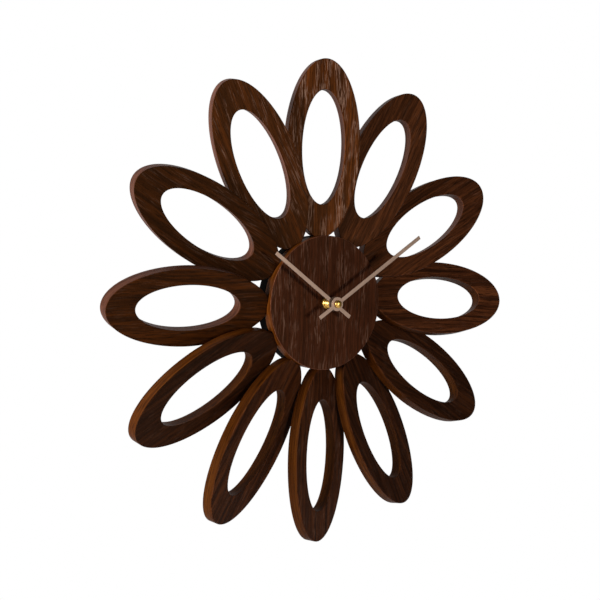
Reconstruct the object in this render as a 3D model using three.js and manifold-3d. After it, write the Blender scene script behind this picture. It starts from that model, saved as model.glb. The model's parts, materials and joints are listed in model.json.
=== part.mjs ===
// A wooden flower wall clock: twelve elliptical ring petals round a dial disc, with a quartz movement.
//
// Everything is drawn as the clock is seen from the front: x to the right, y up and z forward, away
// from the wall, with the wall at z = 0 and the hand shaft along z. The outermost group then stands
// the clock up, so that the exported part has +Z up, its front towards -Y and the wall behind it.
// Lengths are in millimetres and angles in degrees. BACK and FRONT are depths forward of the wall.

import * as THREE from 'three';
import * as BufferGeometryUtils from 'three/addons/utils/BufferGeometryUtils.js';
import Module from 'manifold-3d';

const wasm = await Module();
wasm.setup();

const rad = THREE.MathUtils.degToRad;

// ---------------------------------------------------------------- driving dimensions

// the clearance between two pieces
const GAP = 0.3;

// petals
const PETAL_COUNT = 12;
const CLOCK_RADIUS = 200;
const PETAL_THICKNESS = 9.8;
const PETAL_HALF_LENGTH = 73.5;
const PETAL_HALF_WIDTH = 32;
const PETAL_INNER_POWER = 1.88;
const HOLE_HALF_LENGTH = 47;
const HOLE_HALF_WIDTH = 18.7;
const HOLE_SHIFT = 1.2;
const PETAL_TILT = 15.8;
const PETAL_TURN = 1.2;
const PETAL_SWING = -0.7;
const PETAL_DEPTH = 17.5;
const PETAL_CENTRE = CLOCK_RADIUS - PETAL_HALF_LENGTH;
const PETAL_STEPS = 18;

// Petals are glued up by hand, and these are not quite true. Each angle is added to the common one:
// swing is round the clock and turn about the petal's own centre, both clockwise, and tilt brings the
// clockwise edge forward.
const HAND_SET = {
  1: { swing: -1, turn: -1, tilt: -5 },
  2: { swing: 0, turn: 1, tilt: -5 },
  4: { swing: 0, turn: 0, tilt: -2 },
  5: { swing: 1, turn: 0.5, tilt: -1.5 },
  10: { swing: 0, turn: -2, tilt: -2 },
  11: { swing: 1, turn: 0.5, tilt: 0 },
};

// dial disc and hub block: two round boards, one in front of the other, with the dowels between them
const BOARD_SIDES = 60;
const DIAL_RADIUS = 55.3;
const DIAL_BACK = 18;
const DIAL_FRONT = 27.4;
const HUB_RADIUS = 55.1;
const HUB_BACK = 8.2;
const HUB_FRONT = DIAL_BACK - GAP;
const MOVEMENT_OPENING = 57.6;
const DOWEL_RADIUS = 2.5;
const DOWEL_START = 43.5;
const DOWEL_END = 70.5;

// wood screws
const SCREW_RADIUS = 1.5;
const SCREW_HEAD_RADIUS = 2.9;
const SCREW_HEAD_HEIGHT = 1.8;
const DIAL_SCREW_LENGTH = 14;
const DIAL_SCREW_CIRCLE = 48.3;
const DIAL_SCREW_ANGLES = [45, 135, 225, 315];

// keyhole hanger, measured from its own centre
const HANGER_CENTRE_Y = 41.5;
const HANGER_HALF_WIDTH = 16;
const HANGER_HALF_HEIGHT = 6.5;
const HANGER_THICKNESS = 1.2;
const HANGER_SCREW_X = 12;
const HANGER_SCREW_LENGTH = 7;
const KEYHOLE_Y = -1.5;
const KEYHOLE_RADIUS = 4;
const SLOT_HALF_WIDTH = 1.9;
const SLOT_TOP = 4.5;
const NAIL_ROOM = 4;

// movement case
const CASE_HALF = 28;
const CASE_DEPTH = 16.4;
const CASE_WALL = 1.1;
const CASE_INNER = CASE_HALF - CASE_WALL;
const PARTITION_TOP = -10.7;
const PARTITION_BOTTOM = PARTITION_TOP - 1;
const MIDDLE_PLATE_BACK = 10;
const MIDDLE_PLATE_FRONT = 10.8;

// battery, of AA size, and its contacts
const BATTERY_RADIUS = 7.1;
const BATTERY_HALF_LENGTH = 25.25;
const BATTERY_EDGE = 0.8;
const BUTTON_RADIUS = 2.7;
const BUTTON_HEIGHT = 1.4;
const BATTERY_Y = (PARTITION_BOTTOM - CASE_INNER) / 2;
const BATTERY_DEPTH = BATTERY_RADIUS + 0.8;
const CONTACT_HALF_HEIGHT = 5;
const CONTACT_BACK = 2;
const CONTACT_FRONT = 13;

// threaded bushing, its nut and its washer
const BUSHING_RADIUS = 4;
const BUSHING_FRONT = DIAL_FRONT + 8.2;
const BUSHING_CLEARANCE = 0.5;
const NUT_RADIUS = 4.9;
const NUT_HEIGHT = 2.6;
const WASHER_RADIUS = 10;

// hand stack
const HOUR_TUBE_RADIUS = 2.5;
const MINUTE_SHAFT_RADIUS = 1.5;
const HAND_THICKNESS = 0.8;
const HAND_HALF_WIDTH = 1.6;
const HAND_BOSS_RADIUS = 5.75;
const HOUR_HAND_BACK = DIAL_FRONT + 11;
const HOUR_HAND_LENGTH = 72;
const HOUR_HAND_TAIL = 19.5;
const COLLET_RADIUS = 3.5;
const COLLET_OVERHANG = 1.2;
const MINUTE_HAND_BACK = DIAL_FRONT + 14.6;
const MINUTE_HAND_LENGTH = 102;
const MINUTE_HAND_TAIL = 20.5;
const CAP_RADIUS = 3.2;
const CAP_HEIGHT = 2.6;
const CAP_SOCKET = 1.8;
const HOUR_SHOWN = 10;
const MINUTES_SHOWN = 9.5;

// gears, and the directions in which each arbor stands from the one that drives it
const MAGNET_RADIUS = 3;
const MAGNET_BACK = 3.9;
const MAGNET_FRONT = 5.7;
const GEARS = {
  centrePinion: { teeth: 12, module: 0.5, back: 11.2, front: 12.8 },
  motionWheel: { teeth: 36, module: 0.5, back: 11.4, front: 12.6 },
  motionPinion: { teeth: 10, module: 0.48, back: 12.6, front: 14.9 },
  hourWheel: { teeth: 40, module: 0.48, back: 13.6, front: 14.8 },
  centreWheel: { teeth: 48, module: 0.4, back: 8.4, front: 9.4 },
  thirdPinion: { teeth: 6, module: 0.4, back: 7.2, front: 9.7 },
  thirdWheel: { teeth: 45, module: 0.4, back: 6.2, front: 7.2 },
  secondsPinion: { teeth: 6, module: 0.4, back: 5.2, front: 7.5 },
  secondsWheel: { teeth: 30, module: 0.48, back: 4.2, front: 5.2 },
  stepPinion: { teeth: 6, module: 0.48, back: 3.4, front: 5.5 },
  stepWheel: { teeth: 36, module: 0.4, back: 2.4, front: 3.4 },
  rotorPinion: { teeth: 6, module: 0.4, back: 2, front: MAGNET_BACK },
};
const MOTION_DIRECTION = 150;
const THIRD_DIRECTION = 60;
const SECONDS_DIRECTION = 60;
const STEP_DIRECTION = 175;
const ROTOR_DIRECTION = 185;

// arbors of the train
const TRAIN_BACK = CASE_WALL + GAP;
const TRAIN_FRONT = MIDDLE_PLATE_BACK - GAP;
const ARBOR_RADIUS = 0.6;
const CENTRE_ARBOR_RADIUS = 1.2;
const SPINDLE_RADIUS = 1;
const PIVOT_RADIUS = 0.4;
const PIVOT_LENGTH = 0.5;
const PIVOT_BACK = CASE_WALL - PIVOT_LENGTH;

// setting knob
const KNOB_RADIUS = 4.5;
const KNOB_FLANGE_RADIUS = 5.8;
const KNOB_FLANGE_BACK = CASE_WALL + GAP;
const KNOB_FLANGE_FRONT = 2.2;
const KNOB_FRONT = 3;

// stepping motor
const STATOR_BACK = 4;
const STATOR_FRONT = 5;
const LOBE_RADIUS = 4.5;
const LOBE_BORE = 3.5;
const LEG_WIDTH = 3;
const LEG_LEFT = -25.5;
const LEG_TOP = 23.6;
const LEG_BOTTOM = -4.5;
const LEG_TURN = -17.5;
const COIL_X = -22.3;
const COIL_RADIUS = 3.4;
const COIL_BOTTOM = 0;
const COIL_TOP = 18;
const CORE_HALF_WIDTH = 1;
const CORE_BACK = STATOR_FRONT + GAP;
const CORE_FRONT = CORE_BACK + 1;

// circuit board
const CIRCUIT_LEFT = 17.5;
const CIRCUIT_RIGHT = 26;
const CIRCUIT_BOTTOM = -10;
const CIRCUIT_TOP = 7;
const CIRCUIT_FRONT = 4.2;
const CIRCUIT_THICKNESS = 0.8;
const CHIP_X = (CIRCUIT_LEFT + CIRCUIT_RIGHT) / 2;
const CHIP_Y = 2;
const CHIP_RADIUS = 2.6;
const CHIP_HEIGHT = 1.2;
const CRYSTAL_Y = -5;
const CRYSTAL_RADIUS = 1;
const CRYSTAL_LENGTH = 6;

// ---------------------------------------------------------------- materials

const COLOURS = {
  walnut: [0x4a2413, 0.5, 0],
  beech: [0xc9a878, 0.7, 0],
  black_board: [0x0d0b0a, 0.8, 0],
  champagne: [0xa58a73, 0.4, 0.8],
  brass: [0xd9a441, 0.3, 1],
  steel: [0xb8bcc0, 0.35, 1],
  black_plastic: [0x17181a, 0.5, 0],
  white_plastic: [0xe6e4dc, 0.5, 0],
  rubber: [0x1a1a1a, 0.9, 0],
  copper: [0xb4622f, 0.4, 1],
  circuit: [0x1f6b3a, 0.6, 0],
  battery_jacket: [0x2f3338, 0.4, 0.3],
};

function material(kind) {
  const [color, roughness, metalness] = COLOURS[kind];
  return new THREE.MeshStandardMaterial({ color, roughness, metalness });
}

// ---------------------------------------------------------------- solids

function solid(geometry) {
  const bare = geometry.clone();
  bare.deleteAttribute('normal');
  bare.deleteAttribute('uv');
  const merged = BufferGeometryUtils.mergeVertices(bare, 1e-4);
  const vertProperties = new Float32Array(merged.attributes.position.array);
  const triVerts = new Uint32Array(merged.index.array);
  return new wasm.Manifold(new wasm.Mesh({ numProp: 3, vertProperties, triVerts }));
}

function geometryOf(manifold) {
  const mesh = manifold.getMesh();
  const geometry = new THREE.BufferGeometry();
  geometry.setAttribute('position', new THREE.BufferAttribute(mesh.vertProperties, 3));
  geometry.setIndex(new THREE.BufferAttribute(mesh.triVerts, 1));
  return geometry;
}

function combine(first, added, removed = []) {
  let result = solid(first);
  for (const geometry of added) {
    result = result.add(solid(geometry));
  }
  for (const geometry of removed) {
    result = result.subtract(solid(geometry));
  }
  return geometryOf(result);
}

const cut = (first, ...removed) => combine(first, [], removed);
const join = (first, ...added) => combine(first, added);

// A flat outline between two depths.
function plate(shape, back, front, curveSegments = 24) {
  const options = { depth: front - back, bevelEnabled: false, curveSegments };
  return new THREE.ExtrudeGeometry(shape, options).translate(0, 0, back);
}

function disc(x, y, radius, back, front, sides = 24) {
  const geometry = new THREE.CylinderGeometry(radius, radius, front - back, sides);
  return geometry.rotateX(Math.PI / 2).translate(x, y, (front + back) / 2);
}

function block(left, right, bottom, top, back, front) {
  const geometry = new THREE.BoxGeometry(right - left, top - bottom, front - back);
  return geometry.translate((left + right) / 2, (bottom + top) / 2, (back + front) / 2);
}

// A turned piece about z, from [radius, depth] pairs that start and end on the axis.
function turned(profile, x = 0, y = 0, sides = 24) {
  const points = profile.map(([radius, depth]) => new THREE.Vector2(radius, depth));
  return new THREE.LatheGeometry(points, sides).rotateX(Math.PI / 2).translate(x, y, 0);
}

function ring(outer, inner, back, front, sides = 16) {
  return turned([[inner, back], [outer, back], [outer, front], [inner, front], [inner, back]], 0, 0, sides);
}

function ellipse(halfLength, halfWidth, shift = 0) {
  const shape = new THREE.Shape();
  shape.absellipse(shift, 0, halfLength, halfWidth, 0, 2 * Math.PI);
  return shape;
}

// ---------------------------------------------------------------- the object

const clock = new THREE.Group();
clock.rotation.x = Math.PI / 2;

function place(name, kind, geometry) {
  const mesh = new THREE.Mesh(geometry, material(kind));
  mesh.name = name;
  clock.add(mesh);
  return mesh;
}

// ---------------------------------------------------------------- petals and dowels

const handSet = (hour) => HAND_SET[hour % PETAL_COUNT] ?? { swing: 0, turn: 0, tilt: 0 };

// The petal's direction, counter-clockwise from three o'clock.
function petalAngle(hour) {
  return rad(90 - (360 / PETAL_COUNT) * hour - PETAL_SWING - handSet(hour).swing);
}

// Where a petal stands: out along its direction, turned in its own plane, then tilted about its length
// so that its clockwise edge comes forward over the next petal.
function petalMatrix(hour) {
  const { turn, tilt } = handSet(hour);
  const outward = new THREE.Matrix4().makeRotationZ(petalAngle(hour));
  const centre = new THREE.Matrix4().makeTranslation(PETAL_CENTRE, 0, PETAL_DEPTH);
  const turning = new THREE.Matrix4().makeRotationZ(-rad(PETAL_TURN + turn));
  const tilting = new THREE.Matrix4().makeRotationX(-rad(PETAL_TILT + tilt));
  return outward.multiply(centre).multiply(turning).multiply(tilting);
}

// An ellipse whose inner half runs a little straighter to its tip: |x/a|^p + |y/b|^p = 1, with p below 2.
function petalOutline(grown) {
  const points = [];
  for (let step = 0; step < 2 * PETAL_STEPS; step += 1) {
    const cos = Math.cos((Math.PI * step) / PETAL_STEPS);
    const sin = Math.sin((Math.PI * step) / PETAL_STEPS);
    const share = cos < 0 ? 2 / PETAL_INNER_POWER : 1;
    const x = Math.sign(cos) * Math.abs(cos) ** share * (PETAL_HALF_LENGTH + grown);
    const y = Math.sign(sin) * Math.abs(sin) ** share * (PETAL_HALF_WIDTH + grown);
    points.push(new THREE.Vector2(x, y));
  }
  return new THREE.Shape(points);
}

function petalRing() {
  const outline = petalOutline(0);
  outline.holes.push(ellipse(HOLE_HALF_LENGTH, HOLE_HALF_WIDTH, HOLE_SHIFT));
  return plate(outline, -PETAL_THICKNESS / 2, PETAL_THICKNESS / 2, PETAL_STEPS);
}

// The same petal, a gap larger all round and not pierced, to relieve the back of the one in front.
function petalRelief() {
  const outline = petalOutline(GAP);
  return plate(outline, -PETAL_THICKNESS / 2 - GAP, PETAL_THICKNESS / 2 + GAP, PETAL_STEPS);
}

// A rod from the hub into a petal's solid inner end.
function dowelRod(hour, radius, start, end) {
  const rod = new THREE.CylinderGeometry(radius, radius, end - start, 8);
  rod.rotateZ(Math.PI / 2).translate((start + end) / 2, 0, PETAL_DEPTH);
  return rod.rotateZ(petalAngle(hour));
}

// A petal is coped round the dial disc, drilled for its dowel, and relieved where it laps the next one.
function addPetals() {
  for (let hour = 1; hour <= PETAL_COUNT; hour += 1) {
    const number = String(hour).padStart(2, '0');
    const stand = petalMatrix(hour);
    const intoPetal = stand.clone().invert();
    const cope = disc(0, 0, DIAL_RADIUS + GAP, 0, 2 * DIAL_FRONT, BOARD_SIDES);
    const socket = dowelRod(hour, DOWEL_RADIUS + GAP, DOWEL_START, DOWEL_END + GAP);
    const lap = petalRelief().applyMatrix4(petalMatrix(hour + 1));
    const cutters = [cope, socket, lap].map((geometry) => geometry.applyMatrix4(intoPetal));
    const petal = place(`petal_${number}`, 'walnut', cut(petalRing(), ...cutters));
    petal.applyMatrix4(stand);
    place(`petal_dowel_${number}`, 'beech', dowelRod(hour, DOWEL_RADIUS, DOWEL_START, DOWEL_END));
  }
}

// ---------------------------------------------------------------- dial disc, hub block, their screws

function dowelGrooves() {
  const grooves = [];
  for (let hour = 1; hour <= PETAL_COUNT; hour += 1) {
    grooves.push(dowelRod(hour, DOWEL_RADIUS + GAP, DOWEL_START - GAP, DOWEL_END));
  }
  return grooves;
}

// A countersunk screw driven forward from its head at the given depth.
function screw(x, y, back, length, clearance = 0) {
  const shank = SCREW_RADIUS + clearance;
  const head = SCREW_HEAD_RADIUS + clearance;
  const tip = back + length + clearance;
  const profile = [[0, back], [head, back], [shank, back + SCREW_HEAD_HEIGHT], [shank, tip], [0, tip]];
  return turned(profile, x, y, 8);
}

function addBoards() {
  const screws = DIAL_SCREW_ANGLES.map((angle) => {
    return [DIAL_SCREW_CIRCLE * Math.cos(rad(angle)), DIAL_SCREW_CIRCLE * Math.sin(rad(angle))];
  });
  const screwHoles = screws.map(([x, y]) => screw(x, y, HUB_BACK, DIAL_SCREW_LENGTH, GAP));
  const grooves = dowelGrooves();

  const dial = disc(0, 0, DIAL_RADIUS, DIAL_BACK, DIAL_FRONT, BOARD_SIDES);
  const bore = disc(0, 0, BUSHING_RADIUS + BUSHING_CLEARANCE, 0, DIAL_FRONT + 1);
  place('dial_disc', 'walnut', cut(dial, bore, ...screwHoles, ...grooves));

  const half = MOVEMENT_OPENING / 2;
  const hub = disc(0, 0, HUB_RADIUS, HUB_BACK, HUB_FRONT, BOARD_SIDES);
  const opening = block(-half, half, -half, half, 0, DIAL_FRONT);
  const nailRoom = disc(0, HANGER_CENTRE_Y, KEYHOLE_RADIUS - KEYHOLE_Y, 0, HUB_BACK + NAIL_ROOM);
  const hangerHoles = [-1, 1].map((side) => {
    const depth = HUB_BACK + HANGER_SCREW_LENGTH;
    return disc(side * HANGER_SCREW_X, HANGER_CENTRE_Y, SCREW_RADIUS + GAP, 0, depth, 12);
  });
  place('hub_block', 'black_board', cut(hub, opening, nailRoom, ...hangerHoles, ...screwHoles, ...grooves));

  screws.forEach(([x, y], index) => {
    place(`dial_screw_${index + 1}`, 'steel', screw(x, y, HUB_BACK, DIAL_SCREW_LENGTH));
  });
}

// A keyhole plate on the back of the hub block, above the movement: the clock hangs on a screw head.
function addHanger() {
  const quarter = Math.PI / 2;
  const outline = new THREE.Shape();
  outline.moveTo(-HANGER_HALF_WIDTH, -HANGER_HALF_HEIGHT);
  outline.lineTo(HANGER_HALF_WIDTH, -HANGER_HALF_HEIGHT);
  outline.absarc(HANGER_HALF_WIDTH, 0, HANGER_HALF_HEIGHT, -quarter, quarter);
  outline.lineTo(-HANGER_HALF_WIDTH, HANGER_HALF_HEIGHT);
  outline.absarc(-HANGER_HALF_WIDTH, 0, HANGER_HALF_HEIGHT, quarter, 3 * quarter);

  const front = HUB_BACK - GAP;
  const back = front - HANGER_THICKNESS;
  const mouth = disc(0, KEYHOLE_Y, KEYHOLE_RADIUS, 0, HUB_BACK, 20);
  const slot = block(-SLOT_HALF_WIDTH, SLOT_HALF_WIDTH, KEYHOLE_Y, SLOT_TOP, 0, HUB_BACK);
  const screwHoles = [-1, 1].map((side) => screw(side * HANGER_SCREW_X, 0, back, HANGER_SCREW_LENGTH, GAP));
  const blank = plate(outline, back, front, 6);
  const hanger = place('hanger_plate', 'steel', cut(blank, mouth, slot, ...screwHoles));
  hanger.position.y = HANGER_CENTRE_Y;
  for (const [side, name] of [[-1, 'left'], [1, 'right']]) {
    const fastener = screw(side * HANGER_SCREW_X, HANGER_CENTRE_Y, back, HANGER_SCREW_LENGTH);
    place(`hanger_screw_${name}`, 'steel', fastener);
  }
}

// ---------------------------------------------------------------- gears

// Half the thickness of a tooth at its root and at its tip, as shares of the angle between teeth.
const WHEEL_TOOTH = { root: 0.29, tip: 0.1 };
const PINION_TOOTH = { root: 0.24, tip: 0.08 };
const ADDENDUM = 0.95;
const DEDENDUM = 1.25;
const LARGEST_PINION = 12;

const pitchRadius = (gear) => (gear.teeth * gear.module) / 2;

// The angle of the driven gear's first tooth that puts it in mesh with the driver.
function meshedPhase(driver, driven) {
  const towards = Math.atan2(driven.y - driver.y, driven.x - driver.x);
  const share = ((driver.phase - towards) * driver.teeth) / (2 * Math.PI);
  return towards + Math.PI - ((share + 0.5) * 2 * Math.PI) / driven.teeth;
}

function gearPlate(gear) {
  const { root, tip } = gear.teeth <= LARGEST_PINION ? PINION_TOOTH : WHEEL_TOOTH;
  const inner = pitchRadius(gear) - DEDENDUM * gear.module;
  const outer = pitchRadius(gear) + ADDENDUM * gear.module;
  const corners = [[-root, inner], [-tip, outer], [tip, outer], [root, inner]];
  const points = [];
  for (let tooth = 0; tooth < gear.teeth; tooth += 1) {
    for (const [share, radius] of corners) {
      const angle = gear.phase + ((tooth + share) * 2 * Math.PI) / gear.teeth;
      points.push(new THREE.Vector2(gear.x + radius * Math.cos(angle), gear.y + radius * Math.sin(angle)));
    }
  }
  return plate(new THREE.Shape(points), gear.back, gear.front);
}

// A gear that meshes with its driver, standing in the given direction from it.
function meshedWith(driver, name, direction) {
  const gear = { ...GEARS[name] };
  const distance = pitchRadius(driver) + pitchRadius(gear);
  gear.x = driver.x + distance * Math.cos(rad(direction));
  gear.y = driver.y + distance * Math.sin(rad(direction));
  gear.phase = meshedPhase(driver, gear);
  return gear;
}

// A gear on the same arbor as another.
const onArborOf = (gear, name) => ({ ...GEARS[name], x: gear.x, y: gear.y, phase: 0 });

const centrePinion = { ...GEARS.centrePinion, x: 0, y: 0, phase: 0 };
const motionWheel = meshedWith(centrePinion, 'motionWheel', MOTION_DIRECTION);
const motionPinion = onArborOf(motionWheel, 'motionPinion');
const hourWheel = meshedWith(motionPinion, 'hourWheel', MOTION_DIRECTION + 180);
const centreWheel = onArborOf(centrePinion, 'centreWheel');
const thirdPinion = meshedWith(centreWheel, 'thirdPinion', THIRD_DIRECTION);
const thirdWheel = onArborOf(thirdPinion, 'thirdWheel');
const secondsPinion = meshedWith(thirdWheel, 'secondsPinion', SECONDS_DIRECTION);
const secondsWheel = onArborOf(secondsPinion, 'secondsWheel');
const stepPinion = meshedWith(secondsWheel, 'stepPinion', STEP_DIRECTION);
const stepWheel = onArborOf(stepPinion, 'stepWheel');
const rotorPinion = meshedWith(stepWheel, 'rotorPinion', ROTOR_DIRECTION);

const bearingHole = (gear, back, front) => disc(gear.x, gear.y, PIVOT_RADIUS + GAP, back, front, 8);
const passage = (gear, radius) => disc(gear.x, gear.y, radius + GAP, -1, CASE_DEPTH, 16);

// A moulded arbor, with a thin pivot at each end that runs in a plate.
function arbor(gear) {
  const pivotBack = PIVOT_BACK;
  const pivotFront = MIDDLE_PLATE_BACK + PIVOT_LENGTH;
  const profile = [
    [0, pivotBack], [PIVOT_RADIUS, pivotBack], [PIVOT_RADIUS, TRAIN_BACK], [ARBOR_RADIUS, TRAIN_BACK],
    [ARBOR_RADIUS, TRAIN_FRONT], [PIVOT_RADIUS, TRAIN_FRONT], [PIVOT_RADIUS, pivotFront], [0, pivotFront],
  ];
  return turned(profile, gear.x, gear.y, 8);
}

function addTrain() {
  const trainPieces = [
    ['third_wheel', thirdPinion, thirdWheel],
    ['seconds_wheel', secondsPinion, secondsWheel],
    ['step_wheel', stepPinion, stepWheel],
  ];
  for (const [name, pinion, wheel] of trainPieces) {
    place(name, 'white_plastic', join(gearPlate(pinion), gearPlate(wheel), arbor(wheel)));
  }
  const magnet = disc(rotorPinion.x, rotorPinion.y, MAGNET_RADIUS, MAGNET_BACK, MAGNET_FRONT, 20);
  place('rotor', 'black_plastic', join(gearPlate(rotorPinion), magnet, arbor(rotorPinion)));
}

// The minute shaft runs from the back cover, through the hour tube, to the cap on the minute hand.
function addCentre() {
  const shaftFront = MINUTE_HAND_BACK + HAND_THICKNESS + CAP_SOCKET - GAP / 2;
  const shaft = turned([
    [0, PIVOT_BACK], [PIVOT_RADIUS, PIVOT_BACK], [PIVOT_RADIUS, TRAIN_BACK],
    [CENTRE_ARBOR_RADIUS, TRAIN_BACK], [CENTRE_ARBOR_RADIUS, centrePinion.back],
    [MINUTE_SHAFT_RADIUS, centrePinion.back], [MINUTE_SHAFT_RADIUS, shaftFront], [0, shaftFront],
  ], 0, 0, 20);
  place('minute_arbor', 'brass', join(shaft, gearPlate(centrePinion)));
  const wheelBore = passage(centreWheel, CENTRE_ARBOR_RADIUS - GAP / 2);
  place('centre_wheel', 'white_plastic', cut(gearPlate(centreWheel), wheelBore));

  const tubeFront = HOUR_HAND_BACK + HAND_THICKNESS + COLLET_OVERHANG - GAP;
  const tube = disc(0, 0, HOUR_TUBE_RADIUS, hourWheel.back, tubeFront);
  const bore = disc(0, 0, MINUTE_SHAFT_RADIUS + GAP, 0, tubeFront + 1);
  place('hour_wheel', 'white_plastic', combine(gearPlate(hourWheel), [tube], [bore]));
}

// The motion wheel's spindle comes out at the back, where the setting knob is pressed onto it.
function addMotionWork() {
  const { x, y } = motionWheel;
  const spindle = disc(x, y, SPINDLE_RADIUS, KNOB_FRONT + GAP, motionPinion.front, 12);
  place('motion_wheel', 'white_plastic', join(gearPlate(motionWheel), gearPlate(motionPinion), spindle));
  const knob = turned([
    [0, GAP], [KNOB_RADIUS, GAP], [KNOB_RADIUS, KNOB_FLANGE_BACK], [KNOB_FLANGE_RADIUS, KNOB_FLANGE_BACK],
    [KNOB_FLANGE_RADIUS, KNOB_FLANGE_FRONT], [KNOB_RADIUS, KNOB_FLANGE_FRONT], [KNOB_RADIUS, KNOB_FRONT],
    [0, KNOB_FRONT],
  ], x, y, 20);
  place('setting_knob', 'black_plastic', knob);
}

// ---------------------------------------------------------------- movement case

function addCase() {
  const bay = (bottom, top) => block(-CASE_INNER, CASE_INNER, bottom, top, -1, CASE_DEPTH - CASE_WALL);
  const shell = block(-CASE_HALF, CASE_HALF, -CASE_HALF, CASE_HALF, 0, CASE_DEPTH);
  const gearBay = bay(PARTITION_TOP, CASE_INNER);
  const batteryBay = bay(-CASE_INNER, PARTITION_BOTTOM);
  const bushingHole = disc(0, 0, BUSHING_RADIUS + GAP, 0, CASE_DEPTH + 1);
  place('movement_case', 'black_plastic', cut(shell, gearBay, batteryBay, bushingHole));

  const inside = CASE_INNER - GAP;
  const insert = (back, front) => block(-inside, inside, PARTITION_TOP + GAP, inside, back, front);
  const train = [thirdWheel, secondsWheel, stepWheel, rotorPinion];

  const backHoles = [centreWheel, ...train].map((gear) => bearingHole(gear, PIVOT_BACK - GAP, CASE_WALL + 1));
  const knobHole = passage(motionWheel, KNOB_RADIUS);
  place('movement_cover', 'black_plastic', cut(insert(0, CASE_WALL), ...backHoles, knobHole));

  const socketFront = MIDDLE_PLATE_BACK + PIVOT_LENGTH + 0.1;
  const sockets = train.map((gear) => bearingHole(gear, MIDDLE_PLATE_BACK - 1, socketFront));
  const through = [passage(centreWheel, CENTRE_ARBOR_RADIUS), passage(motionWheel, SPINDLE_RADIUS)];
  const middle = insert(MIDDLE_PLATE_BACK, MIDDLE_PLATE_FRONT);
  place('middle_plate', 'black_plastic', cut(middle, ...sockets, ...through));
}

// The threaded bushing carries the movement on the dial disc, between a rubber washer and a round nut.
function addBushing() {
  const fit = BUSHING_RADIUS + GAP;
  const nutBack = DIAL_FRONT + GAP;
  const bushing = ring(BUSHING_RADIUS, HOUR_TUBE_RADIUS + GAP, CASE_DEPTH - CASE_WALL, BUSHING_FRONT);
  place('threaded_bushing', 'brass', bushing);
  place('bushing_nut', 'brass', ring(NUT_RADIUS, fit, nutBack, nutBack + NUT_HEIGHT));
  place('rubber_washer', 'rubber', ring(WASHER_RADIUS, fit, CASE_DEPTH + GAP, DIAL_BACK - GAP));
}

// ---------------------------------------------------------------- battery, motor and circuit

function addBattery() {
  const negative = -BATTERY_HALF_LENGTH;
  const positive = BATTERY_HALF_LENGTH - BUTTON_HEIGHT;
  const face = BATTERY_RADIUS - BATTERY_EDGE;
  const profile = [
    [0, negative], [face, negative], [BATTERY_RADIUS, negative + BATTERY_EDGE],
    [BATTERY_RADIUS, positive - BATTERY_EDGE], [face, positive], [BUTTON_RADIUS, positive],
    [BUTTON_RADIUS, BATTERY_HALF_LENGTH], [0, BATTERY_HALF_LENGTH],
  ];
  const battery = place('battery', 'battery_jacket', turned(profile, 0, 0, 20));
  battery.rotation.y = Math.PI / 2;
  battery.position.set(0, BATTERY_Y, BATTERY_DEPTH);

  const bottom = BATTERY_Y - CONTACT_HALF_HEIGHT;
  const top = BATTERY_Y + CONTACT_HALF_HEIGHT;
  const near = BATTERY_HALF_LENGTH + GAP;
  const far = CASE_INNER - GAP;
  place('contact_positive', 'steel', block(near, far, bottom, top, CONTACT_BACK, CONTACT_FRONT));
  place('contact_negative', 'steel', block(-far, -near, bottom, top, CONTACT_BACK, CONTACT_FRONT));
}

// The stepping motor: a flat stator whose lobe rings the rotor, and whose two legs reach the ends of the
// core of a coil that stands beside it.
function addMotor() {
  const { x, y } = rotorPinion;
  const lobe = disc(x, y, LOBE_RADIUS, STATOR_BACK, STATOR_FRONT, 32);
  const bar = (left, right, bottom, top) => block(left, right, bottom, top, STATOR_BACK, STATOR_FRONT);
  const legs = [
    bar(LEG_LEFT, x, LEG_TOP - LEG_WIDTH, LEG_TOP),
    bar(LEG_TURN, x, y - LEG_WIDTH, y),
    bar(LEG_TURN, LEG_TURN + LEG_WIDTH, LEG_BOTTOM, y),
    bar(LEG_LEFT, LEG_TURN + LEG_WIDTH, LEG_BOTTOM, LEG_BOTTOM + LEG_WIDTH),
  ];
  place('stator', 'steel', combine(lobe, legs, [disc(x, y, LOBE_BORE, 0, CASE_DEPTH, 32)]));

  const strip = (extra) => {
    const half = CORE_HALF_WIDTH + extra;
    return block(COIL_X - half, COIL_X + half, LEG_BOTTOM, LEG_TOP, CORE_BACK - extra, CORE_FRONT + extra);
  };
  place('coil_core', 'steel', strip(0));
  const winding = new THREE.CylinderGeometry(COIL_RADIUS, COIL_RADIUS, COIL_TOP - COIL_BOTTOM, 20);
  winding.translate(COIL_X, (COIL_BOTTOM + COIL_TOP) / 2, (CORE_BACK + CORE_FRONT) / 2);
  place('coil', 'copper', cut(winding, strip(GAP)));
}

// The chip is under a drop of resin, and the quartz crystal is in a small can that lies on the board.
function addCircuit() {
  const back = CIRCUIT_FRONT - CIRCUIT_THICKNESS;
  const board = block(CIRCUIT_LEFT, CIRCUIT_RIGHT, CIRCUIT_BOTTOM, CIRCUIT_TOP, back, CIRCUIT_FRONT);
  const dropFront = CIRCUIT_FRONT + CHIP_HEIGHT;
  const drop = turned([
    [0, back], [CHIP_RADIUS, back], [CHIP_RADIUS, CIRCUIT_FRONT], [0.85 * CHIP_RADIUS, dropFront - 0.5],
    [0.45 * CHIP_RADIUS, dropFront - 0.1], [0, dropFront],
  ], CHIP_X, CHIP_Y, 16);
  place('circuit_board', 'circuit', join(board, drop));
  const can = new THREE.CylinderGeometry(CRYSTAL_RADIUS, CRYSTAL_RADIUS, CRYSTAL_LENGTH, 12);
  can.translate(CHIP_X, CRYSTAL_Y, CIRCUIT_FRONT + GAP + CRYSTAL_RADIUS);
  place('quartz_crystal', 'steel', can);
}

// ---------------------------------------------------------------- hands

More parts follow.
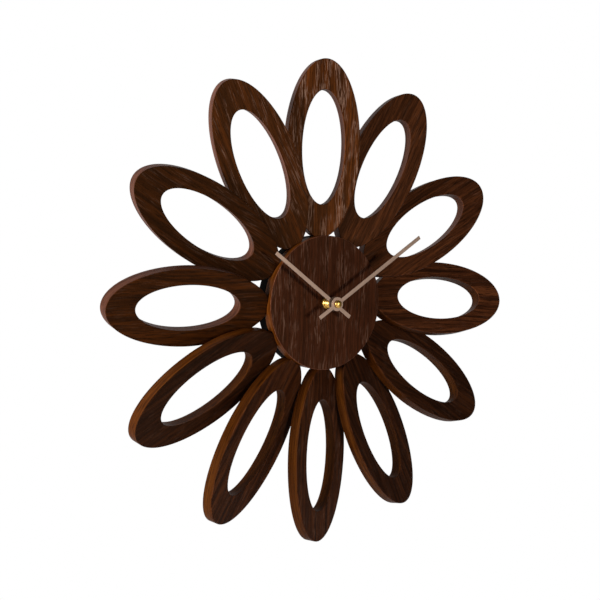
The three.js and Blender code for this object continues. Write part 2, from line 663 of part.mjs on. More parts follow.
// A straight flat bar with square ends and a round boss, turned clockwise from twelve.
function placeHand(name, length, tail, bore, back, clockwise) {
  const bar = block(-HAND_HALF_WIDTH, HAND_HALF_WIDTH, -tail, length, 0, HAND_THICKNESS);
  const boss = disc(0, 0, HAND_BOSS_RADIUS, 0, HAND_THICKNESS, 32);
  const hole = disc(0, 0, bore, -1, HAND_THICKNESS + 1);
  const hand = place(name, 'champagne', combine(bar, [boss], [hole]));
  hand.position.z = back;
  hand.rotation.z = -rad(clockwise);
}

function addHands() {
  const press = GAP / 2;
  const hourAngle = HOUR_SHOWN * 30 + MINUTES_SHOWN / 2;
  const hourFront = HOUR_HAND_BACK + HAND_THICKNESS;
  placeHand('hour_hand', HOUR_HAND_LENGTH, HOUR_HAND_TAIL, COLLET_RADIUS + press, HOUR_HAND_BACK, hourAngle);
  const colletBack = HOUR_HAND_BACK - COLLET_OVERHANG;
  const collet = ring(COLLET_RADIUS, HOUR_TUBE_RADIUS + press, colletBack, hourFront + GAP);
  place('hour_hand_collet', 'brass', collet);

  const socket = MINUTE_SHAFT_RADIUS + press;
  const minuteAngle = MINUTES_SHOWN * 6;
  placeHand('minute_hand', MINUTE_HAND_LENGTH, MINUTE_HAND_TAIL, socket, MINUTE_HAND_BACK, minuteAngle);
  const capBack = MINUTE_HAND_BACK + HAND_THICKNESS + GAP;
  const cap = turned([
    [socket, capBack], [CAP_RADIUS, capBack], [CAP_RADIUS, capBack + 1.2], [0.9 * CAP_RADIUS, capBack + 1.9],
    [0.62 * CAP_RADIUS, capBack + 2.4], [0, capBack + CAP_HEIGHT], [0, capBack + CAP_SOCKET],
    [socket, capBack + CAP_SOCKET], [socket, capBack],
  ]);
  place('minute_hand_nut', 'brass', cap);
}

addPetals();
addBoards();
addHanger();
addCase();
addBushing();
addCentre();
addMotionWork();
addTrain();
addMotor();
addCircuit();
addBattery();
addHands();

const wallClock = new THREE.Group();
wallClock.add(clock);

export default wallClock;
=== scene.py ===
# The looks of the flower wall clock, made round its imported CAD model.
#
# Shapes are drawn in millimetres as the clock is seen face-on: x to the right, y up and z forward,
# away from the wall. FACE_ON turns that into the model's own frame. Wood has its grain along local x.

import json
import math

import bmesh
import bpy
import numpy as np
from mathutils import Matrix, Vector


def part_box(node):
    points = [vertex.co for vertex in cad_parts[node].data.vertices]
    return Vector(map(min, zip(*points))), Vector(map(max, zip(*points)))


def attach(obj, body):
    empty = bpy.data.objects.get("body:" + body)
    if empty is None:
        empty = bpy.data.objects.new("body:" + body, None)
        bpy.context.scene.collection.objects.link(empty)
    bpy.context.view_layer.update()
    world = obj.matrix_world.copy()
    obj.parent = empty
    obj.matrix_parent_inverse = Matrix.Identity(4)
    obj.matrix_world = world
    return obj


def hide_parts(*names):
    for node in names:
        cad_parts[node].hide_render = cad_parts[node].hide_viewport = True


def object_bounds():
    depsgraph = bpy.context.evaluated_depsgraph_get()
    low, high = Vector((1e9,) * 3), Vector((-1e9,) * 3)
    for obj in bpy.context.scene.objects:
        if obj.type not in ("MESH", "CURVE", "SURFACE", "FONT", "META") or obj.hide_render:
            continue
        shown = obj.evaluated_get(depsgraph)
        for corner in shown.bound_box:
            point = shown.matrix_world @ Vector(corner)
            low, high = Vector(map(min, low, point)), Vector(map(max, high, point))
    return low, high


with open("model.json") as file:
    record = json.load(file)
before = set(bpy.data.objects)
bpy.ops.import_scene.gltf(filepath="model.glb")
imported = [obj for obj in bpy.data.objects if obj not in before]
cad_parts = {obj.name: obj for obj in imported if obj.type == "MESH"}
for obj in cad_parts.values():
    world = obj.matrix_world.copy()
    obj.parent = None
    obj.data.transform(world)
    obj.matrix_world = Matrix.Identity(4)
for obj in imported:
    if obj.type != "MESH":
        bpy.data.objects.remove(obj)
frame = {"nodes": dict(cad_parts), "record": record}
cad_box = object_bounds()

MM = 0.001
FACE_ON = Matrix(((1, 0, 0, 0), (0, 0, -1, 0), (0, 1, 0, 0), (0, 0, 0, 1)))
FULL_TURN = 2 * math.pi
HOURS = range(1, 13)

# The clearance between two pieces, and the smaller one that the petals keep round the dial.
GAP = 0.3
DIAL_GAP = 0.05

# How near a face or an end a corner lies to count as being on it, and how far cutters reach past a solid.
ON_FACE = 0.05
PAST = 1


# ---------------------------------------------------------------- reading the CAD model


class Extent:
    """A CAD node's box, face-on and in millimetres."""

    def __init__(self, node):
        low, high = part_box(node)
        self.left, self.right = low.x / MM, high.x / MM
        self.bottom, self.top = low.z / MM, high.z / MM
        self.back, self.front = -high.y / MM, -low.y / MM
        self.x = (self.left + self.right) / 2
        self.y = (self.bottom + self.top) / 2
        self.radius = (self.right - self.left) / 2
        self.height = self.front - self.back


def face_corners(node):
    """The corners of a CAD node as rows of x, y and depth in millimetres."""
    corners = np.array([v.co for v in frame["nodes"][node].data.vertices]) / MM
    return np.unique(np.column_stack([corners[:, 0], corners[:, 2], -corners[:, 1]]).round(3), axis=0)


def rim_loops(bm, faces):
    """The closed loops of points round a patch of faces."""
    patch = set(faces)
    edges = {e for f in faces for e in f.edges if sum(g in patch for g in e.link_faces) == 1}
    loops = []
    while edges:
        edge = edges.pop()
        start, vertex = edge.verts
        loop = [start.co.copy()]
        while vertex is not start:
            loop.append(vertex.co.copy())
            edge = next(e for e in vertex.link_edges if e in edges)
            edges.discard(edge)
            vertex = edge.other_vert(vertex)
        loops.append(np.array(loop))
    return loops


class Petal:
    """An elliptical ring petal, measured on its CAD node: its place, its two outlines and its thickness."""

    def __init__(self, node):
        bm = bmesh.new()
        bm.from_mesh(frame["nodes"][node].data)
        bmesh.ops.scale(bm, vec=(1 / MM, 1 / MM, 1 / MM), verts=bm.verts)
        bmesh.ops.remove_doubles(bm, verts=bm.verts, dist=1e-3)
        bm.normal_update()
        normal = max((f for f in bm.faces if f.normal.y < -0.5), key=lambda f: f.calc_area()).normal.copy()
        heights = [v.co.dot(normal) for v in bm.verts]
        self.thickness = max(heights) - min(heights)
        level = max(heights) - ON_FACE
        front = [f for f in bm.faces if all(v.co.dot(normal) > level for v in f.verts)]

        # Of the front face's two rims, the outline comes nearer the hand shaft.
        rims = sorted(rim_loops(bm, front), key=lambda rim: np.hypot(rim[:, 0], rim[:, 2]).min())
        outline, hole = rims[0], rims[-1]
        hole_centre = Vector(hole.mean(axis=0))
        spread, directions = np.linalg.eigh(np.cov((hole - hole.mean(axis=0)).T, bias=True))
        self.hole_half_width, self.hole_half_length = np.sqrt(2 * spread[1:])
        along = Vector(directions[:, 2]).normalized()
        if along.dot(hole_centre) < 0:
            along.negate()
        across = normal.cross(along)

        # The outline's outer half is an ellipse: a x^2 + b x + c y^2 = 1 gives its centre and both halves.
        x = (outline - hole.mean(axis=0)) @ np.array(along)
        y = (outline - hole.mean(axis=0)) @ np.array(across)
        outer = np.column_stack([x**2, x, y**2])[x > 0]
        a, b, c = np.linalg.lstsq(outer, np.ones(len(outer)), rcond=None)[0]
        self.hole_shift = b / (2 * a)
        size = 1 + a * self.hole_shift**2
        self.half_length = math.sqrt(size / a)
        self.half_width = math.sqrt(size / c)

        # The inner half, up to where the dial cuts it off, is |x/a|^p + |y/b|^p = 1 with its own power p.
        inward = -(x + self.hole_shift) / self.half_length
        clear_of_dial = np.hypot(outline[:, 0], outline[:, 2]) > Extent("dial_disc").radius + 1
        inner = (inward > 0.1) & clear_of_dial
        x, y = inward[inner], np.abs(y[inner]) / self.half_width
        powers = np.linspace(1.5, 2.5, 201)
        misfits = [np.abs(x**power + y**power - 1).sum() for power in powers]
        self.inner_power = powers[np.argmin(misfits)]
        centre = hole_centre - along * self.hole_shift - normal * (self.thickness / 2)
        self.stand = Matrix.Translation(centre) @ Matrix((along, across, normal)).transposed().to_4x4()
        bm.free()


class Hand:
    """A straight hand, measured on its CAD node."""

    def __init__(self, node):
        corners = face_corners(node)
        reach = np.hypot(corners[:, 0], corners[:, 1])
        tip = corners[reach > reach.max() - ON_FACE]
        self.angle = math.atan2(tip[:, 1].mean(), tip[:, 0].mean())
        along = corners[:, 0] * math.cos(self.angle) + corners[:, 1] * math.sin(self.angle)
        across = corners[:, 1] * math.cos(self.angle) - corners[:, 0] * math.sin(self.angle)
        self.length = along.max()
        self.tail = -along.min()
        self.half_width = np.abs(across[along > self.length - ON_FACE]).max()
        self.boss_radius = np.abs(across).max()
        self.bore = reach.min()
        self.back = corners[:, 2].min()
        self.front = corners[:, 2].max()


# ---------------------------------------------------------------- solids

# A wooden piece's finishes: its two faces, its rounded edges, its sides and where it has been cut.
FACE, ARRIS, BAND, CUT = range(4)


def loft(loops, closed=False, finishes=None):
    """A solid through successive loops of points: capped at both ends, or closed on itself."""
    bm = bmesh.new()
    rings = [[bm.verts.new(point) for point in loop] for loop in loops]
    strips = list(zip(rings, rings[1:] + rings[:1] if closed else rings[1:]))
    for strip, (near, far) in enumerate(strips):
        for i in range(len(near)):
            j = (i + 1) % len(near)
            face = bm.faces.new((near[i], near[j], far[j], far[i]))
            face.material_index = finishes[strip] if finishes else 0
    if not closed:
        bm.faces.new(reversed(rings[0]))
        bm.faces.new(rings[-1])
    bmesh.ops.recalc_face_normals(bm, faces=bm.faces)
    return bm


def rounded(outline, radius, steps=4):
    """A closed outline with each of its corners rounded."""
    points = [Vector(point) for point in outline]
    result = []
    for i, corner in enumerate(points):
        ends = []
        for other in (points[i - 1], points[(i + 1) % len(points)]):
            run = other - corner
            ends.append(corner + run.normalized() * min(radius, 0.48 * run.length))
        for step in range(steps + 1):
            t = step / steps
            result.append((1 - t) ** 2 * ends[0] + 2 * t * (1 - t) * corner + t**2 * ends[1])
    return result


def turns(sides):
    return [FULL_TURN * i / sides for i in range(sides)]


def circle(radius, depth, x=0.0, y=0.0, sides=96):
    return [(x + radius * math.cos(t), y + radius * math.sin(t), depth) for t in turns(sides)]


def fluted(radius, flutes, flute_depth, sides):
    """The radius at each side of a circle that has flutes cut in it."""
    return [radius - flute_depth * max(0, math.cos(flutes * turn)) for turn in turns(sides)]


def turned_ring(profile, edge=0.2, x=0.0, y=0.0, sides=96):
    """A turned piece with a bore, from a closed outline of (radius, depth) corners."""
    loops = [circle(radius, depth, x, y, sides) for radius, depth in rounded(profile, edge)]
    return loft(loops, closed=True)


def turned(profile, x=0.0, y=0.0, sides=64, finishes=None):
    """A solid turned piece, from (radius, depth) pairs between its two flat ends."""
    return loft([circle(radius, depth, x, y, sides) for radius, depth in profile], finishes=finishes)


def prism(outline, back, front):
    return loft([[(point[0], point[1], depth) for point in outline] for depth in (back, front)])


def rectangle(left, right, bottom, top):
    return [(left, bottom), (right, bottom), (right, top), (left, top)]


def box(left, right, bottom, top, back, front, corner=0.0):
    outline = rectangle(left, right, bottom, top)
    return prism(rounded(outline, corner, steps=5) if corner else outline, back, front)


def moved(bm, matrix):
    bm.transform(matrix)
    return bm


def rod(start, direction, length, radius, sides=32):
    """A cylinder from a point along a direction."""
    bm = loft([circle(radius, depth, sides=sides) for depth in (0, length)])
    return moved(bm, Matrix.Translation(start) @ direction.to_track_quat("Z", "Y").to_matrix().to_4x4())


def eased(bm, width, segments=2, sharper_than=35):
    """Rounds the solid's sharp edges off a little."""
    limit = math.radians(sharper_than)
    edges = [e for e in bm.edges if len(e.link_faces) == 2 and e.calc_face_angle() > limit]
    bmesh.ops.bevel(bm, geom=edges, offset=width, segments=segments, profile=0.5, affect="EDGES")
    return bm


def scratch_object(bm):
    mesh = bpy.data.meshes.new("scratch")
    for _ in (FACE, ARRIS, BAND, CUT):
        mesh.materials.append(None)
    bm.to_mesh(mesh)
    bm.free()
    thing = bpy.data.objects.new("scratch", mesh)
    bpy.context.scene.collection.objects.link(thing)
    return thing


def combine(bm, tools, operation):
    """The solid after a boolean operation with each of the tools in turn."""
    body = scratch_object(bm)
    others = [scratch_object(tool) for tool in tools]
    for other in others:
        change = body.modifiers.new("change", "BOOLEAN")
        change.operation = operation
        change.solver = "MANIFOLD"
        change.object = other
    result = bmesh.new()
    result.from_mesh(body.evaluated_get(bpy.context.evaluated_depsgraph_get()).data)
    for thing in (body, *others):
        mesh = thing.data
        bpy.data.objects.remove(thing)
        bpy.data.meshes.remove(mesh)
    bmesh.ops.remove_doubles(result, verts=result.verts, dist=1e-4)
    bmesh.ops.dissolve_degenerate(result, edges=result.edges, dist=1e-4)
    return result


def carve(bm, *cutters, cut_finish=0):
    """The solid with the cutters' shapes taken away."""
    for cutter in cutters:
        for face in cutter.faces:
            face.material_index = cut_finish
    return combine(bm, cutters, "DIFFERENCE")


def piece(name, bm, body, finishes, replaces=(), stand=FACE_ON, sharper_than=35):
    """Puts a solid in the scene. stand takes it, still in millimetres, to the model's frame."""
    bm.normal_update()
    limit = math.radians(sharper_than)
    for edge in bm.edges:
        edge.smooth = len(edge.link_faces) == 2 and edge.calc_face_angle() < limit
    for face in bm.faces:
        face.smooth = True
    bm.transform(Matrix.Scale(MM, 4))
    mesh = bpy.data.meshes.new(name)
    for finish in finishes:
        mesh.materials.append(finish)
    bm.to_mesh(mesh)
    bm.free()
    thing = bpy.data.objects.new(name, mesh)
    bpy.context.scene.collection.objects.link(thing)
    place = stand.copy()
    place.translation = stand.translation * MM
    thing.matrix_world = place
    shading = thing.modifiers.new("shading", "WEIGHTED_NORMAL")
    shading.keep_sharp = True
    shading.weight = 100
    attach(thing, body)
    if replaces:
        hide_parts(*replaces)
    return thing


# ---------------------------------------------------------------- materials


class Paint:
    """A material's nodes, with short ways to add to them."""

    def __init__(self, name, **values):
        self.material = bpy.data.materials.new(name)
        self.material.use_nodes = True
        self.tree = self.material.node_tree
        self.shader = self.tree.nodes["Principled BSDF"]
        for key, value in values.items():
            self.shader.inputs[key.replace("_", " ")].default_value = value

    def connect(self, value, socket):
        if isinstance(value, bpy.types.NodeSocket):
            self.tree.links.new(value, socket)
        else:
            socket.default_value = value

    def add(self, kind, inputs=(), **settings):
        node = self.tree.nodes.new(kind)
        for key, value in settings.items():
            setattr(node, key, value)
        for key, value in dict(inputs).items():
            self.connect(value, node.inputs[key])
        return node

    def math(self, operation, *values):
        node = self.add("ShaderNodeMath", enumerate(values), operation=operation)
        return node.outputs[0]

    def here(self):
        """The point on the piece, in millimetres."""
        local = self.add("ShaderNodeTexCoord").outputs["Object"]
        return self.vector("SCALE", local, Scale=1 / MM)

    def vector(self, operation, *values, **named):
        node = self.add("ShaderNodeVectorMath", enumerate(values), operation=operation)
        for key, value in named.items():
            self.connect(value, node.inputs[key])
        return node.outputs[0]

    def noise(self, point, sizes, detail=2.0, seed=0.0):
        """Noise whose features are of these sizes in millimetres, along x, y and z."""
        scaled = self.vector("MULTIPLY", point, [1 / size for size in sizes])
        moved_on = self.vector("ADD", scaled, (seed, 0.37 * seed, 0.71 * seed))
        inputs = {"Vector": moved_on, "Scale": 1.0, "Detail": detail}
        return self.add("ShaderNodeTexNoise", inputs).outputs["Fac"]

    def ramp(self, factor, *stops):
        """A value or colour for each position of the factor."""
        node = self.add("ShaderNodeValToRGB", {"Fac": factor})
        elements = node.color_ramp.elements
        while len(elements) < len(stops):
            elements.new(0.5)
        for element, (position, value) in zip(elements, stops):
            element.position = position
            element.color = (*value, 1) if isinstance(value, tuple) else (value, value, value, 1)
        return node.outputs["Color"]

    def mix(self, factor, first, second):
        """The first colour where the factor is 0 and the second where it is 1."""
        node = self.add("ShaderNodeMix", data_type="RGBA")
        factor_socket, first_socket, second_socket = (node.inputs[index] for index in (0, 6, 7))
        self.connect(factor, factor_socket)
        for value, socket in ((first, first_socket), (second, second_socket)):
            self.connect((*value, 1) if isinstance(value, tuple) else value, socket)
        return node.outputs[2]

    def bump(self, height, depth, strength=1.0):
        """Relief of this depth in millimetres."""
        made = self.add("ShaderNodeBump", {"Height": height, "Distance": depth * MM, "Strength": strength})
        self.tree.links.new(made.outputs["Normal"], self.shader.inputs["Normal"])

    def finish(self, **values):
        for key, value in values.items():
            self.connect(value, self.shader.inputs[key.replace("_", " ")])
        return self.material


def srgb(*levels):
    """A colour from its red, green and blue levels out of 255."""
    shares = [level / 255 for level in levels]
    return tuple(s / 12.92 if s <= 0.04045 else ((s + 0.055) / 1.055) ** 2.4 for s in shares)


def shade(colour, factor):
    return tuple(value * factor for value in colour)


# The dark, middle and light colours of each veneer, and the light grey painted sheen streaked along its open
# pores.
WALNUT = (srgb(26, 9, 3), srgb(48, 22, 9), srgb(72, 37, 17))
RED_WALNUT = (srgb(26, 8, 1), srgb(47, 20, 3), srgb(71, 33, 7))
DIAL_WALNUT = (srgb(34, 13, 6), srgb(48, 21, 10), srgb(62, 30, 16))
EDGE_WALNUT = (srgb(64, 29, 5), srgb(86, 42, 8), srgb(106, 57, 16))
# Edge veneer greyed by a painted reflection of the white studio.
REFLECTION_GREYED_EDGE_WALNUT = (srgb(58, 31, 20), srgb(74, 42, 29), srgb(90, 55, 41))
# The light grey of the painted sheen in the open pores.
PAINTED_SHEEN = srgb(122, 92, 76)

# The lacquer's tint, and its shine on faces and on edges.
SHEEN = (1.0, 0.4, 0.15)
FACE_GLOSS = 0.14
EDGE_GLOSS = 0.06


def veneer(name, grain_of, colours, seed, tone=1.0, sheen_streaks=0.0, gloss=FACE_GLOSS):
    """Lacquered dark walnut. grain_of gives the point in millimetres with x along the grain, tone makes
    the wood lighter and sheen_streaks says how many of the open pores are painted with a light grey sheen."""
    paint = Paint(name, Specular_IOR_Level=gloss, Specular_Tint=(*SHEEN, 1))
    point = grain_of(paint)
    wander = paint.noise(point, (90, 40, 40), 1, seed)
    sway = paint.math("MULTIPLY", paint.math("SUBTRACT", wander, 0.5), 9.0)
    bent = paint.vector("ADD", point, paint.add("ShaderNodeCombineXYZ", {"Y": sway}).outputs[0])
    bands = paint.noise(bent, (150, 3.2, 3.2), 3, seed + 3)
    fibres = paint.noise(bent, (26, 0.7, 0.7), 2, seed + 7)
    pores = paint.noise(bent, (11, 0.5, 0.5), 1, seed + 11)
    cluster = paint.noise(bent, (30, 7, 7), 2, seed + 17)
    sheen_specks = paint.noise(bent, (10, 0.6, 0.6), 2, seed + 23)

    figure = paint.math("ADD", paint.math("MULTIPLY", bands, 0.6), paint.math("MULTIPLY", fibres, 0.4))
    dark, middle, light = (shade(colour, tone) for colour in colours)
    wood = paint.ramp(figure, (0.38, dark), (0.5, middle), (0.63, light))
    closed_pores = paint.ramp(pores, (0.34, 1.0), (0.42, 0.0))
    wood = paint.mix(closed_pores, wood, shade(dark, 0.55))
    # Painted sheen: open pores in clusters are painted light grey, as a highlight broken up along the grain.
    more = 0.06 * sheen_streaks
    speckled = paint.ramp(sheen_specks, (0.57 - more, 0.0), (0.65 - more, 1.0))
    sheen_pores = paint.math("MULTIPLY", speckled, paint.ramp(cluster, (0.45, 0.0), (0.6, 1.0)))
    wood = paint.mix(paint.math("MULTIPLY", sheen_pores, sheen_streaks), wood, PAINTED_SHEEN)

    relief = paint.math("SUBTRACT", fibres, paint.math("ADD", closed_pores, sheen_pores))
    paint.bump(relief, 0.05, 0.6)
    return paint.finish(Base_Color=wood, Roughness=paint.ramp(fibres, (0.3, 0.42), (0.7, 0.58)))


def along_face(paint):
    return paint.here()


def along_edge(half_length, half_width):
    """The grain of an edge, which runs round an ellipse."""

    def grain_of(paint):
        x, y, z = paint.add("ShaderNodeSeparateXYZ", {"Vector": paint.here()}).outputs
        width_share = paint.math("DIVIDE", y, half_width)
        length_share = paint.math("DIVIDE", x, half_length)
        turn = paint.math("ARCTAN2", width_share, length_share)
        run = paint.math("MULTIPLY", turn, (half_length + half_width) / 2)
        return paint.add("ShaderNodeCombineXYZ", {"X": run, "Y": z}).outputs[0]

    return grain_of


def metal(name, colour, roughness, grain=(1, 1, 1), spread=0.08, relief=0.004):
    """Metal whose finish varies a little along its grain."""
    paint = Paint(name, Metallic=1.0)
    point = paint.here()
    grain_noise = paint.noise(point, grain, 3)
    wear = paint.noise(point, (4, 4, 4), 2, 5)
    tint = paint.ramp(wear, (0.3, shade(colour, 0.86)), (0.7, colour))
    paint.bump(grain_noise, relief)
    varied = paint.ramp(grain_noise, (0.3, roughness - spread), (0.7, roughness + spread))
    return paint.finish(Base_Color=tint, Roughness=varied)


CHAMPAGNE = srgb(166, 138, 119)


def champagne():
    """Satin anodised aluminium, brushed along the hand."""
    paint = Paint("champagne_metal", Metallic=0.75)
    point = paint.here()
    brushing = paint.noise(point, (14, 0.12, 0.4), 2)
    cloud = paint.noise(point, (9, 3, 3), 2, 4)
    colour = paint.ramp(cloud, (0.3, shade(CHAMPAGNE, 0.88)), (0.7, CHAMPAGNE))
    paint.bump(brushing, 0.006)
    return paint.finish(Base_Color=colour, Roughness=paint.ramp(brushing, (0.3, 0.38), (0.7, 0.54)))


def plastic(name, colour, roughness, texture=0.35, relief=0.01, specular=0.4):
    """Moulded plastic with a fine spark-eroded texture."""
    paint = Paint(name, Specular_IOR_Level=specular)
    point = paint.here()
    sparks = paint.noise(point, (texture, texture, texture), 2)
    flow = paint.noise(point, (18, 18, 18), 2, 9)
    tint = paint.ramp(flow, (0.3, shade(colour, 0.85)), (0.7, shade(colour, 1.1)))
    paint.bump(sparks, relief)
    varied = paint.ramp(sparks, (0.3, roughness - 0.06), (0.7, roughness + 0.08))
    return paint.finish(Base_Color=tint, Roughness=varied)


def black_board():
    """Fibreboard under thin matt black paint, with the fibres showing through."""
    paint = Paint("black_board", IOR=1.08)
    point = paint.here()
    fibres = paint.noise(point, (1.6, 1.6, 0.5), 3)
    scuffs = paint.noise(point, (12, 5, 8), 3, 6)
    colour = paint.mix(paint.ramp(scuffs, (0.6, 0.0), (0.75, 0.3)), srgb(7, 5, 4), srgb(20, 13, 9))
    paint.bump(fibres, 0.05, 0.7)
    return paint.finish(Base_Color=colour, Roughness=paint.ramp(fibres, (0.3, 0.62), (0.7, 0.85)))


def beech():
    """Bare beech, with its short dark flecks."""
    paint = Paint("beech", Specular_IOR_Level=0.3)
    point = paint.here()
    flecks = paint.noise(point, (3.5, 0.35, 0.35), 2)
    bands = paint.noise(point, (60, 1.8, 1.8), 2, 4)
    colour = paint.ramp(bands, (0.3, srgb(196, 156, 112)), (0.7, srgb(221, 188, 147)))
    colour = paint.mix(paint.ramp(flecks, (0.62, 0.0), (0.7, 0.7)), colour, srgb(150, 104, 66))
    paint.bump(flecks, 0.03)
    return paint.finish(Base_Color=colour, Roughness=paint.ramp(flecks, (0.3, 0.6), (0.7, 0.78)))


WIRE_PITCH = 0.18


def copper_wire():
    """Turns of enamelled wire round a coil that stands along z."""
    paint = Paint("copper_wire", Metallic=1.0)
    point = paint.here()
    height = paint.add("ShaderNodeSeparateXYZ", {"Vector": point}).outputs["Z"]
    ridges = paint.math("SINE", paint.math("MULTIPLY", height, FULL_TURN / WIRE_PITCH))
    paint.bump(ridges, 0.03)
    cloud = paint.noise(point, (2, 2, 0.4), 2)
    colour = paint.ramp(cloud, (0.3, srgb(150, 72, 36)), (0.7, srgb(205, 118, 66)))
    return paint.finish(Base_Color=colour, Roughness=paint.ramp(ridges, (0.0, 0.45), (1.0, 0.28)))


def circuit():
    """Green solder mask over raised tracks."""
    paint = Paint("circuit_board", Specular_IOR_Level=0.4)
    cloud = paint.noise(paint.here(), (0.9, 5, 2), 0)
    tracks = paint.ramp(cloud, (0.52, 0.0), (0.54, 1.0))
    colour = paint.mix(tracks, srgb(24, 84, 50), srgb(44, 122, 70))
    paint.bump(tracks, 0.03)
    return paint.finish(Base_Color=colour, Roughness=paint.ramp(cloud, (0.3, 0.32), (0.7, 0.44)))


FINISHES = {
    "beech": beech(),
    "black_board": black_board(),
    "champagne_metal": champagne(),
    "brass": metal("brass", srgb(226, 178, 92), 0.33, (0.4, 0.4, 0.4)),
    "steel": metal("steel", srgb(190, 192, 194), 0.34, (2.5, 0.3, 0.6)),
    "black_plastic": plastic("black_plastic", srgb(33, 33, 35), 0.5),
    "white_plastic": plastic("white_plastic", srgb(232, 229, 220), 0.38, 0.8, 0.004),
    "rubber": plastic("rubber", srgb(28, 28, 29), 0.8, 0.5, 0.03, 0.2),
    "copper_wire": copper_wire(),
    "circuit_board": circuit(),
    "battery_jacket": plastic("battery_jacket", srgb(52, 58, 66), 0.3, 3.0, 0.004, 0.5),
    "walnut_veneer": veneer("walnut_veneer", along_face, WALNUT, seed=40),
}


def paint_cad_nodes():
    """The nodes that no piece replaces are shown as they are, with the finish of their slot."""
    for subpart in frame["record"]["subparts"]:
        mesh = frame["nodes"][subpart["node"]].data
        mesh.materials.clear()
        mesh.materials.append(FINISHES[subpart["material_slot"]])


# ---------------------------------------------------------------- petals

PETAL_EDGE = 0.55
EDGE_STEPS = 3
PETAL_SIDES = 192
ROUND_SIDES = 240

# How light each petal's face and edge are painted, and how much light grey painted sheen its pores carry,
# from one o'clock round to twelve. The face tones are partly the veneer's own variation and partly painted
# light and shade;
# the edge tones are painted light and shade. Some petals have redder faces, and some have browner edges,
# the other petals' edges being greyed by a painted reflection.
PETAL_TONES_AND_LIGHT = (1.2, 1.3, 1.62, 0.7, 0.7, 1.02, 1.08, 0.54, 0.84, 0.5, 0.78, 1.5)
# Painted light and shade: the left petals' edges are painted lighter and the lower right ones' darker.
EDGE_LIGHT_AND_SHADE = (0.9, 0.8, 0.38, 0.4, 0.42, 0.4, 0.48, 0.7, 1.1, 1.1, 1.35, 0.95)
# Painted sheen: how much light grey sheen each petal's pores carry, most on the twelve o'clock petal.
PETAL_SHEEN_STREAKS = (0.1, 0.1, 0.1, 0.1, 0.1, 0.25, 0.1, 0.1, 0.1, 0.15, 0.4, 1.0)
RED_PETALS = (9, 10, 11, 12)
BROWN_EDGED_PETALS = (3, 4, 5, 6, 7, 8)


def ellipse_loop(half_length, half_width, inset, depth, shift=0.0, inner_power=2.0):
    """A loop of points inset from an ellipse. A power below 2 makes the ellipse's inner half slimmer."""
    points = []
    for turn in turns(PETAL_SIDES):
        cosine, sine = math.cos(turn), math.sin(turn)
        share = 2 / inner_power if cosine < 0 else 1
        x = math.copysign(abs(cosine) ** share, cosine)
        y = math.copysign(abs(sine) ** share, sine)
        points.append(Vector((shift + half_length * x, half_width * y, depth)))
    loop = []
    for i, point in enumerate(points):
        along = points[(i + 1) % PETAL_SIDES] - points[i - 1]
        loop.append(point - inset * Vector((along.y, -along.x, 0)).normalized())
    return loop


def edge_profile(thickness):
    """A petal's rounded edge as insets and depths, from its front face round to its back face."""
    front = []
    for step in range(EDGE_STEPS + 1):
        turn = FULL_TURN / 4 * step / EDGE_STEPS
        inset = PETAL_EDGE * (1 - math.sin(turn))
        front.append((inset, thickness / 2 - PETAL_EDGE * (1 - math.cos(turn))))
    return front + [(inset, -depth) for inset, depth in reversed(front)]


def petal_ring(petal):
    profile = edge_profile(petal.thickness)
    outer = [
        ellipse_loop(petal.half_length, petal.half_width, inset, depth, inner_power=petal.inner_power)
        for inset, depth in profile
    ]
    inner = [
        ellipse_loop(petal.hole_half_length, petal.hole_half_width, -inset, depth, petal.hole_shift)
        for inset, depth in reversed(profile)
    ]
    edge = [ARRIS] * EDGE_STEPS + [BAND] + [ARRIS] * EDGE_STEPS
    return loft(outer + inner, closed=True, finishes=edge + [FACE] + edge + [FACE])


def petal_slab(petal):
    """The petal a gap larger all round and not pierced, to relieve the back of the one in front."""
    half = petal.thickness / 2 + GAP
    sizes = (petal.half_length + GAP, petal.half_width + GAP)
    return loft([ellipse_loop(*sizes, 0, depth, inner_power=petal.inner_power) for depth in (-half, half)])


def dowel_axis(hour):
    """Where a dowel starts, its direction, its length and its radius."""
    corners = face_corners(f"petal_dowel_{hour:02d}")
    middle = Vector(corners.mean(axis=0))
    direction = Vector((middle.x, middle.y, 0)).normalized()
    reach = (corners - np.array(middle)) @ np.array(direction)
    radius = (corners[:, 2].max() - corners[:, 2].min()) / 2
    return middle + direction * reach.min(), direction, reach.max() - reach.min(), radius


def petal_finishes(hour, petal):
    # Painted light and shade: the face tone holds how each petal faces the lights as well as the veneer's own
    # variation.
    tone, seed = PETAL_TONES_AND_LIGHT[hour - 1], 10.0 * hour
    colours = RED_WALNUT if hour in RED_PETALS else WALNUT
    # Painted reflection: all but the brown-edged petals get the greyed edge colours.
    edge_colours = EDGE_WALNUT if hour in BROWN_EDGED_PETALS else REFLECTION_GREYED_EDGE_WALNUT
    round_edge = along_edge(petal.half_length, petal.half_width)
    # Painted light and shade on the edges, and painted grey sheen in the face's pores.
    edge_light_and_shade, sheen_streaks = EDGE_LIGHT_AND_SHADE[hour - 1], PETAL_SHEEN_STREAKS[hour - 1]
    return [
        veneer(f"petal_face_{hour:02d}", along_face, colours, seed, tone, sheen_streaks),
        # Painted highlight: the rounded edges are painted a quarter lighter than the face.
        veneer(f"petal_arris_{hour:02d}", along_face, colours, seed, 1.25 * tone),
        veneer(f"petal_edge_{hour:02d}", round_edge, edge_colours, seed, edge_light_and_shade, gloss=EDGE_GLOSS),
        FINISHES["black_board"],
    ]


